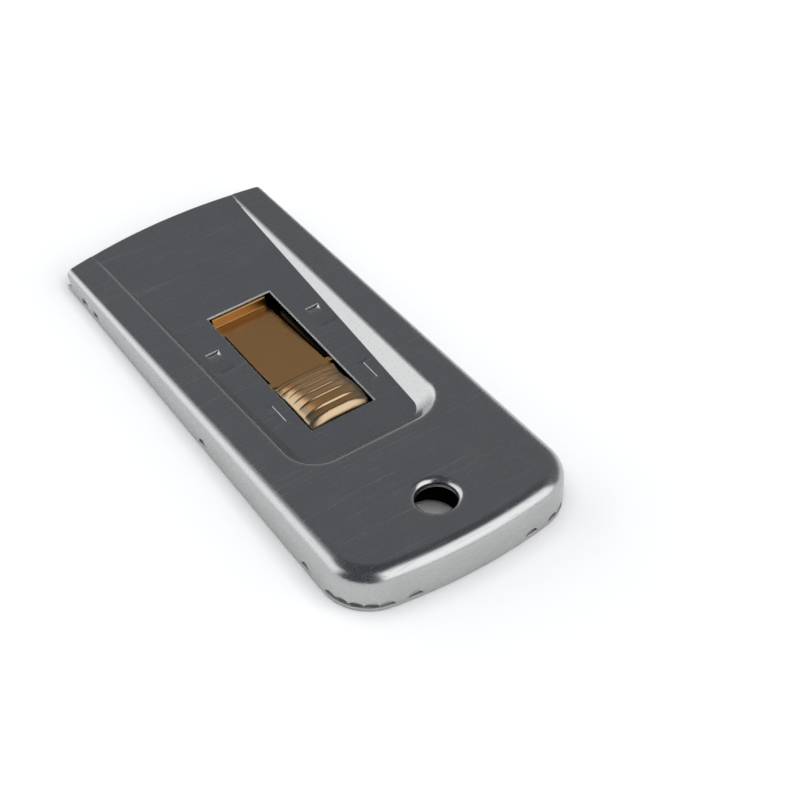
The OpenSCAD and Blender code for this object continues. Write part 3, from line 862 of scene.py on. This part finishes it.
spring = Sheet("brass_spring")
tongue = tongue_line()
spring.strip([[(x, y, z) for x in TONGUE_XS] for y, z in tongue])
for side in (1, -1):
    wing = [side * (TONGUE_W / 2 + (SHOULDER_W - TONGUE_W) / 2 * i / WING_STEPS)
            for i in range(WING_STEPS + 1)]
    spring.strip([[(x, y, z) for x in wing] for y, z in tongue[-3:-1]])
tab = [(x, ROLL_Y, TAB_TOP) for x in TONGUE_XS]
tab += [(TONGUE_W / 2, TAB_FRONT, TAB_TOP), (-TONGUE_W / 2, TAB_FRONT, TAB_TOP)]
rivet_holes = []
for side in (1, -1):
    turns = [2 * math.pi * i / RIVET_STEPS for i in range(RIVET_STEPS)]
    rivet_holes.append([(side * RIVET_X + RIVET_HOLE_R * math.cos(t),
                         RIVET_Y + RIVET_HOLE_R * math.sin(t), TAB_TOP) for t in turns])
spring.flat(tab, rivet_holes)
print("wall under the roll:", round(WALL_LEN, 2), "mm")


# %% [markdown]
# The button is pressed into the end of the same strip. Ridges cross it: each one climbs gently
# towards the tail and drops steeply, and the drops grow, so the thumb gets more grip at the back.
# The table gives each ridge's distance from the fold, its height over the panel and its drop.
# It is crowned from side to side, and the ridges follow its flanks down.

# %% Thumb spring: ridged button
RIDGES = [(1.35, 0.1, 0.04), (2.75, 0.4, 0.06), (4.2, 0.72, 0.1), (6.05, 1.08, 0.14),
          (7.95, 1.36, 0.2), (10.1, 1.38, 0.34), (11.55, 1.1, 0.0)]
CREST_LEN = 0.3
CREST_FALL = 0.04
CORNER_CUTS = 2
REAR_FALLS = [(0.98, 0.16), (0.5, 0.66), (0.12, 1.16), (0.02, 1.6)]
FLANK_X = 2.2
FLANK_FALLS = [(0.0, 0.0), (0.27, 0.18), (0.47, 0.42), (0.67, 0.75), (0.85, 1.15), (0.96, 1.55),
               (1.0, 2.1), (1.0, 3.4)]
TOP_STEPS = 10
SKIRT_Z = UNDER_Z - 2 * SPRING_T
SKIRT_FALL = 1.55
FLANK_START = 0.25
FLANK_GROWTH = 5


def rounded(line):
    """A line with its corners cut, and the corners of that cut again."""
    for _ in range(CORNER_CUTS):
        cut = [line[0]]
        for (ya, za), (yb, zb) in zip(line, line[1:]):
            cut += [(0.75 * ya + 0.25 * yb, 0.75 * za + 0.25 * zb),
                    (0.25 * ya + 0.75 * yb, 0.25 * za + 0.75 * zb)]
        line = cut + [line[-1]]
    return line


def button_line():
    """Middle line of the button in Y and Z, from the fold over the ridges to its rear foot."""
    line = [(FOLD_Y - 0.1, SHOULDER_TOP - 0.3), (FOLD_Y, SHOULDER_TOP + 0.2),
            (FOLD_Y + 0.5, SHOULDER_TOP + 0.05), (FOLD_Y + 0.7, FLOOR_Z - 0.3)]
    for reach, height, drop in RIDGES:
        y, z = FOLD_Y + reach, FLOOR_Z + height
        line += [(y - CREST_LEN, z - CREST_FALL), (y, z)]
        if drop:
            line += [(y + drop, z - drop), (y + drop + CREST_LEN, z - drop)]
    line += [(BUTTON_REAR - reach, z - fall) for reach, fall in REAR_FALLS]
    return rounded(line + [(BUTTON_REAR, SKIRT_Z)])


def crest_height(y, z):
    """Height of the line from crest to crest at y, and z itself beyond the ridges."""
    crests = [(FOLD_Y + reach, FLOOR_Z + height) for reach, height, _ in RIDGES]
    for (ya, za), (yb, zb) in zip(crests, crests[1:]):
        if ya <= y <= yb:
            return max(z, za + (zb - za) * (y - ya) / (yb - ya))
    return z


def arch_places():
    """Across the button: (x, share of its flank, fall), from one foot to the other."""
    wide = BUTTON_W / 2 - FLANK_X
    half = [(FLANK_X + wide * share, share, fall) for share, fall in rounded(FLANK_FALLS)]
    top = [(FLANK_X * (2 * i / TOP_STEPS - 1), 0.0, 0.0) for i in range(1, TOP_STEPS)]
    return [(-x, share, fall) for x, share, fall in reversed(half)] + top + half


def button_z(y, z, share, fall):
    """Height on the button. Ridges fade down its flanks, which start shallow at the fold."""
    depth = min(1.0, FLANK_START + (y - FOLD_Y) / FLANK_GROWTH)
    skirt = max(0.0, (fall - SKIRT_FALL) / (FLANK_FALLS[-1][1] - SKIRT_FALL))
    crest = z + (crest_height(y, z) - z) * share
    return max(SKIRT_Z, crest - fall * (depth + (1 - depth) * skirt))


button = Sheet("brass_button")
arches = arch_places()
button.strip([[(x, y, button_z(y, z, share, fall)) for x, share, fall in arches]
              for y, z in button_line()])
spring_piece = spring.finish(SPRING_T, 0.1, "thumb", [SPRING_BRASS])
button_piece = button.finish(SPRING_T, 0, "thumb", [BUTTON_BRASS], sharp=60)
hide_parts("thumb_spring")
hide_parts("thumb_spring")
print("button ridges:", len(RIDGES))


# %% [markdown]
# The base is a shallow pan with a rounded foot. Just under the cover it steps in, which leaves the
# fine dark seam, and its upstand rises inside the cover, where it shows through the crimps.

# %% Base pan
PAN_STEP = 0.15
FOOT_R = 0.45
FOOT_STEPS = 5
UPSTAND_Z = 2.4
PAN_HOLE_R = 4.8
PAN_HOLE_Y = HOLE_Y - 1.5
PAN_HOLE_STEPS = 72
SEAM_STEPS = [(COVER_T + 0.02, UPSTAND_Z), (COVER_T + 0.02, SEAM_Z), (0.34, SEAM_Z - 0.05),
              (0.2, SEAM_Z - 0.13), (PAN_STEP, SEAM_Z - 0.25)]


def pan_sections():
    """(inset, height) down the pan's section, from the upstand's top to the underside."""
    turns = [math.pi / 2 * k / FOOT_STEPS for k in range(FOOT_STEPS + 1)]
    foot = [(PAN_STEP + FOOT_R * (1 - math.cos(t)), FOOT_R * (1 - math.sin(t))) for t in turns]
    return SEAM_STEPS + foot


pan = Sheet("steel_pan")
pan_rows = []
for inset, z in pan_sections():
    back = rake(z) + PAN_T if z >= SEAM_Z else 0.0
    pan_rows.append([(*outline_place(s, inset, back), z) for s in STATIONS])
pan.strip(pan_rows)
underside = pan_rows[-1]
turns = [2 * math.pi * i / PAN_HOLE_STEPS for i in range(PAN_HOLE_STEPS)]
pan_hole = [(PAN_HOLE_R * math.cos(t), PAN_HOLE_Y + PAN_HOLE_R * math.sin(t), 0) for t in turns]
pan.flat(underside + mouth_run(underside[-1][0], underside[0][0], lambda y: 0.0), [pan_hole])
steel_pan = pan.finish(PAN_T, 0, "housing", [BASE_STEEL], up=-1)
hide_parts("base_pan")
print("steel pan:", len(steel_pan.data.polygons), "faces")


# %% [markdown]
# The other nodes keep their solids, which already have the real shape, and get their metal.

# %% Metals of the plain nodes
NODE_METALS = {"top_cover": COVER_STEEL, "base_pan": BASE_STEEL, "blade_carrier": CARRIER_STEEL,
               "thumb_spring": SPRING_BRASS, "spring_rivets": CARRIER_STEEL,
               "razor_blade": BLADE_STEEL, "blade_spine": SPINE_STEEL}
for name, metal in NODE_METALS.items():
    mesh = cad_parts[name].data
    mesh.materials.clear()
    mesh.materials.append(metal)
    print(name, "->", metal.name)


# %% [markdown]
# The studio is a white table in a dim room. Two big soft screens stand across from each other, one
# beyond the mouth and one beyond the tail, each with a weaker glow low down, and two faint ones
# stand opposite the camera. Flat steel seen from above mirrors the dim room, while its walls mirror
# the table and its rounded edges mirror the screens: that makes brushed steel look like steel.

# %% Studio
FLOOR_HALF = 2.0
TABLE_WHITE = "#F4F4F4"
ROOM_GLOOM = (0.085, 0.095, 0.11)
LAMP_PLACE = (0, 0, 1.0)
LAMP_SIZE = 1.2
LAMP_POWER = 8.5


def add_floor():
    """A wide white table under the scraper."""
    data = bpy.data.meshes.new("table")
    corners = [(-FLOOR_HALF, -FLOOR_HALF, 0), (FLOOR_HALF, -FLOOR_HALF, 0),
               (FLOOR_HALF, FLOOR_HALF, 0), (-FLOOR_HALF, FLOOR_HALF, 0)]
    data.from_pydata(corners, [], [(0, 1, 2, 3)])
    table = bpy.data.objects.new("table", data)
    bpy.context.collection.objects.link(table)
    material, tree, shader = new_material("white table paint")
    shader.inputs["Base Color"].default_value = linear(TABLE_WHITE)
    shader.inputs["Roughness"].default_value = 0.8
    shader.inputs["Specular IOR Level"].default_value = 0.2
    data.materials.append(material)
    return table


def add_mask(tree, value, angle, soft, rising):
    """1 on one side of an angle and 0 on the other, for the sine of an elevation."""
    ends = (0.0, 1.0) if rising else (1.0, 0.0)
    return add_node(tree, "ShaderNodeMapRange", {"interpolation_type": "SMOOTHSTEP"},
                    {"Value": value, "From Min": math.sin(math.radians(angle - soft)),
                     "From Max": math.sin(math.radians(angle + soft)),
                     "To Min": ends[0], "To Max": ends[1]}).outputs["Result"]


def add_screen(tree, level, height, azimuth, half_width, low, high, soft, strength):
    """One soft screen of the room, as its strength in every direction."""
    aim = (math.cos(math.radians(azimuth)), math.sin(math.radians(azimuth)), 0)
    beside = add_node(tree, "ShaderNodeVectorMath", {"operation": "DOT_PRODUCT"},
                      {0: level, 1: aim})
    inside = add_node(tree, "ShaderNodeMapRange", {"interpolation_type": "SMOOTHSTEP"},
                      {"Value": beside.outputs["Value"],
                       "From Min": math.cos(math.radians(half_width + soft)),
                       "From Max": math.cos(math.radians(half_width - soft))})
    light = inside.outputs["Result"]
    for factor in (add_mask(tree, height, low, soft, True),
                   add_mask(tree, height, high, soft, False), strength):
        light = add_node(tree, "ShaderNodeMath", {"operation": "MULTIPLY"},
                         {0: light, 1: factor}).outputs["Value"]
    return light


def add_room(gloom, screens):
    """A dim room with soft screens: (azimuth, half width, low, high, soft edge, strength) each."""
    world = bpy.data.worlds.new("room")
    bpy.context.scene.world = world
    world.use_nodes = True
    tree = world.node_tree
    tree.nodes.clear()
    place = add_node(tree, "ShaderNodeTexCoord")
    parts = add_node(tree, "ShaderNodeSeparateXYZ", inputs={0: place.outputs["Generated"]})
    ground = add_node(tree, "ShaderNodeCombineXYZ",
                      inputs={"X": parts.outputs["X"], "Y": parts.outputs["Y"]})
    level = add_node(tree, "ShaderNodeVectorMath", {"operation": "NORMALIZE"},
                     {0: ground.outputs["Vector"]})
    light = gloom
    for screen in screens:
        glow = add_screen(tree, level.outputs["Vector"], parts.outputs["Z"], *screen)
        light = add_node(tree, "ShaderNodeVectorMath", {"operation": "ADD"},
                         {0: light, 1: glow}).outputs["Vector"]
    back = add_node(tree, "ShaderNodeBackground", inputs={"Color": light, "Strength": 1.0})
    add_node(tree, "ShaderNodeOutputWorld", inputs={"Surface": back.outputs["Background"]})


def add_table_lamp(place, size, power):
    """A wide lamp straight over the table, left out of what the metal mirrors."""
    data = bpy.data.lights.new("table lamp", "AREA")
    data.size = size
    data.energy = power
    lamp = bpy.data.objects.new("table lamp", data)
    bpy.context.collection.objects.link(lamp)
    lamp.location = place
    lamp.visible_glossy = False
    return lamp


SCREENS = [(-50, 40, 6, 43, 7, 1.5),
           (-50, 50, -20, 6, 5, 0.9),
           (116, 37, 8, 63, 6, 1.75),
           (116, 45, -20, 8, 6, 0.6),
           (-122, 70, -20, 52, 6, 0.1),
           (-145, 60, -20, 12, 7, 0.25)]
add_floor()
add_room(ROOM_GLOOM, SCREENS)
add_table_lamp(LAMP_PLACE, LAMP_SIZE, LAMP_POWER)
bpy.context.scene.view_settings.view_transform = "Standard"
print("studio ready")
